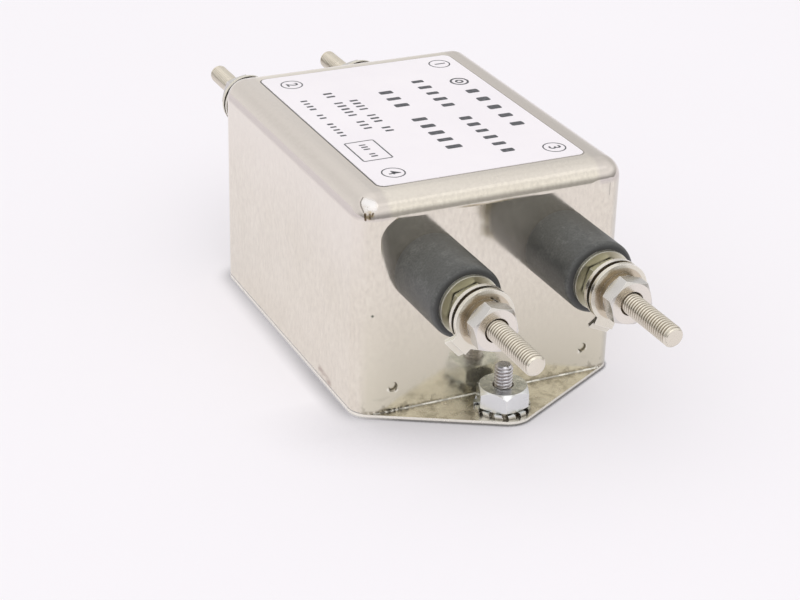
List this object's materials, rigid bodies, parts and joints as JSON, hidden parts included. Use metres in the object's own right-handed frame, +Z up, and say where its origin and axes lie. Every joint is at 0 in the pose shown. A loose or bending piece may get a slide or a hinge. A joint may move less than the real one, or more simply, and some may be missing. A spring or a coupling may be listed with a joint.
{
  "type": "emi line filter",
  "caption": "Mains noise filter in a drawn steel can with insulated stud terminals at both ends and an earth stud on the base plate's ear.",
  "frame": {"origin": "centre of the whole part's footprint, on the underside of the base plate", "axes": "+Z up out of the base plate, +Y along the studs towards the plain ear's end, +X across the terminals"},
  "size_m": [0.0552, 0.1518, 0.0447],
  "materials": {
    "steel_can": "satin nickel-plated drawn sheet",
    "steel_plate": "satin nickel-plated sheet",
    "label_sheet": "matte printed sheet",
    "phenolic": "satin moulded",
    "nickel": "dull bright nickel plate",
    "zinc": "bright zinc plate",
    "fibre": "matte",
    "lug_brass": "tinned",
    "nylon": "matte",
    "board": "matte laminate",
    "ferrite": "matte coated",
    "enamelled_copper": "glossy enamel",
    "capacitor_case": "gloss",
    "disc_coating": "gloss",
    "resistor_body": "gloss",
    "wire_red": "satin",
    "wire_blue": "satin"
  },
  "bodies": {
    "root": {"case": "steel_can", "base_plate": "steel_plate", "label": "label_sheet", "bushing_1": "phenolic", "bushing_2": "phenolic", "bushing_3": "phenolic", "bushing_4": "phenolic", "stud_1": "nickel", "stud_2": "nickel", "stud_3": "nickel", "stud_4": "nickel", "bushing_washers": "nickel", "jam_nuts": "nickel", "plain_washers": "nickel", "inner_spring_washers": "nickel", "tab_washers": "nickel", "outer_spring_washers": "nickel", "terminal_nuts": "nickel", "insulating_washers": "fibre", "inner_washers": "nickel", "solder_lugs": "lug_brass", "inner_nuts": "nickel", "ground_stud": "zinc", "ground_lock_washer": "zinc", "ground_nut": "zinc", "liner": "fibre", "board_posts": "nylon", "circuit_board": "board", "choke_core": "ferrite", "choke_winding_a": "enamelled_copper", "choke_winding_b": "enamelled_copper", "choke_divider": "nylon", "line_capacitor": "capacitor_case", "load_capacitor": "capacitor_case", "ground_capacitors": "disc_coating", "bleed_resistor": "resistor_body", "wire_1": "wire_red", "wire_2": "wire_blue", "wire_3": "wire_red", "wire_4": "wire_blue"}
  },
  "joints": []
}
